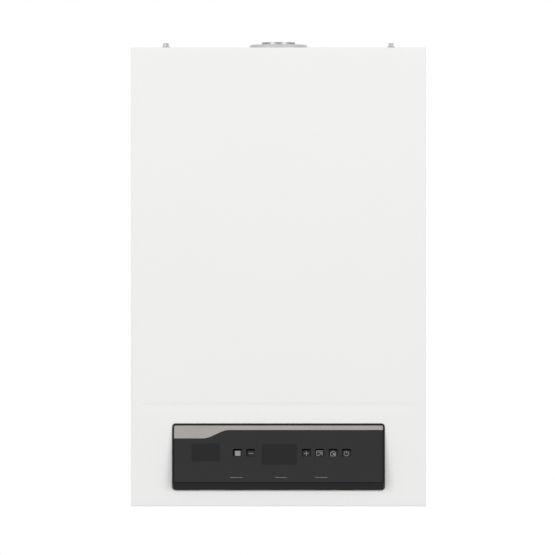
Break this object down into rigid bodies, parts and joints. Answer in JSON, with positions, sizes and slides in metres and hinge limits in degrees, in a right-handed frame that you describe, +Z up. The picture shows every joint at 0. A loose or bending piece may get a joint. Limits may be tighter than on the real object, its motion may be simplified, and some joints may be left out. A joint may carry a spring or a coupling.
{
  "type": "wall-hung gas boiler",
  "caption": "Wall-hung gas boiler with a white sheet casing, a black tilted control panel with push buttons, a coaxial flue outlet on top and pipe tails below.",
  "frame": {"origin": "midway between the two bracket screws, on the wall plane", "axes": "+Y into the wall, +Z up, +X to the right for a person facing the boiler"},
  "size_m": [0.45, 0.342, 0.7192],
  "materials": {
    "white_paint": "satin",
    "galvanised": "spangled",
    "aluminised": "satin",
    "zinc_steel": "bright",
    "stainless": "brushed",
    "cast_aluminium": "cast",
    "collar_aluminium": "satin",
    "black_bezel": "gloss",
    "smoked_lens": "gloss",
    "silver_trim": "satin",
    "black_button": "satin",
    "display_dark": "gloss",
    "board_green": "satin",
    "grey_plastic": "matte",
    "black_plastic": "matte",
    "white_plastic": "matte",
    "copper": "drawn",
    "brass": "machined",
    "ceramic_fibre": "matte",
    "ceramic": "glazed",
    "silicone": "matte",
    "clear_glass": "clear",
    "cast_iron": "painted",
    "vessel_red": "satin",
    "red_plastic": "satin",
    "blue_plastic": "satin"
  },
  "bodies": {
    "boiler": {"wall_bracket": "galvanised", "rear_frame": "galvanised", "left_side_panel": "white_paint", "right_side_panel": "white_paint", "top_panel": "white_paint", "bottom_plate": "galvanised", "flange_screws": "zinc_steel", "chamber_box": "aluminised", "chamber_seal": "silicone", "chamber_door": "aluminised", "sight_glass": "clear_glass", "burner_tray": "aluminised", "burner_blades": "stainless", "gas_manifold": "cast_aluminium", "gas_pipe": "copper", "ignition_electrodes": "ceramic", "spark_generator": "black_plastic", "ceramic_liner": "ceramic_fibre", "heat_exchanger": "copper", "flue_hood": "aluminised", "fan_housing": "cast_aluminium", "fan_motor": "black_plastic", "flue_spigot": "stainless", "flue_collar": "collar_aluminium", "air_pressure_switch": "black_plastic", "sensing_hose": "silicone", "expansion_vessel": "vessel_red", "flow_manifold": "brass", "three_way_actuator": "white_plastic", "relief_valve": "brass", "plate_exchanger": "stainless", "flow_sensor": "black_plastic", "pump_body": "cast_iron", "pump_motor": "cast_iron", "air_vent": "brass", "gas_valve": "cast_aluminium", "connection_tails": "brass", "water_pipes": "copper", "fill_valve": "brass", "cable_gland": "black_plastic"},
    "cover": {"front_cover": "white_paint"},
    "control_box": {"control_bezel": "black_bezel", "display_lens": "smoked_lens", "fascia_trim": "silver_trim", "display_module": "display_dark", "control_board": "board_green", "control_housing": "grey_plastic"},
    "fan_rotor": {"fan_impeller": "stainless"},
    "pump_rotor": {"pump_impeller": "black_plastic"},
    "turbine": {"turbine_rotor": "white_plastic"},
    "valve_spindle": {"valve_spindle": "stainless"},
    "relief_knob": {"relief_knob": "red_plastic"},
    "fill_knob": {"fill_knob": "blue_plastic"},
    "button_stop": {"button_stop": "black_button"},
    "button_minus": {"button_minus": "black_button"},
    "button_plus": {"button_plus": "black_button"},
    "button_mode": {"button_mode": "black_button"},
    "button_heating": {"button_heating": "black_button"},
    "button_power": {"button_power": "black_button"}
  },
  "joints": [
    {"name": "cover_pull", "type": "slide", "parent": "boiler", "child": "cover", "axis": [0, -1, 0], "range_m": [0, 0.4]},
    {"name": "control_tilt", "type": "hinge", "parent": "boiler", "child": "control_box", "pos_m": [0, -0.312, -0.604], "axis": [1, 0, 0], "range_deg": [0, 70]},
    {"name": "stop_press", "type": "slide", "parent": "control_box", "child": "button_stop", "axis": [0, 0.9925, -0.1219], "range_m": [0, 0.001], "stiffness_N_per_m": 150},
    {"name": "minus_press", "type": "slide", "parent": "control_box", "child": "button_minus", "axis": [0, 0.9925, -0.1219], "range_m": [0, 0.001], "stiffness_N_per_m": 150},
    {"name": "plus_press", "type": "slide", "parent": "control_box", "child": "button_plus", "axis": [0, 0.9925, -0.1219], "range_m": [0, 0.001], "stiffness_N_per_m": 150},
    {"name": "mode_press", "type": "slide", "parent": "control_box", "child": "button_mode", "axis": [0, 0.9925, -0.1219], "range_m": [0, 0.001], "stiffness_N_per_m": 150},
    {"name": "heating_press", "type": "slide", "parent": "control_box", "child": "button_heating", "axis": [0, 0.9925, -0.1219], "range_m": [0, 0.001], "stiffness_N_per_m": 150},
    {"name": "power_press", "type": "slide", "parent": "control_box", "child": "button_power", "axis": [0, 0.9925, -0.1219], "range_m": [0, 0.001], "stiffness_N_per_m": 150},
    {"name": "fan_spin", "type": "hinge", "parent": "boiler", "child": "fan_rotor", "pos_m": [-0.034, -0.14, -0.0354], "axis": [0, 1, 0], "continuous": true},
    {"name": "pump_spin", "type": "hinge", "parent": "boiler", "child": "pump_rotor", "pos_m": [0.14, -0.125, -0.53], "axis": [0, 1, 0], "continuous": true},
    {"name": "turbine_spin", "type": "hinge", "parent": "boiler", "child": "turbine", "pos_m": [0.07, -0.165, -0.583], "axis": [0, 1, 0], "continuous": true},
    {"name": "valve_stroke", "type": "slide", "parent": "boiler", "child": "valve_spindle", "axis": [0, 0, 1], "range_m": [0, 0.006]},
    {"name": "relief_turn", "type": "hinge", "parent": "boiler", "child": "relief_knob", "pos_m": [-0.197, -0.14, -0.55], "axis": [-1, 0, 0], "range_deg": [0, 90]},
    {"name": "fill_turn", "type": "hinge", "parent": "boiler", "child": "fill_knob", "pos_m": [0.105, -0.125, -0.616], "axis": [0, 0, -1], "range_deg": [0, 360]}
  ],
  "couplings": [
    {"joint": "control_tilt", "follows": "cover_pull", "rad_per_m": 3.05}
  ]
}
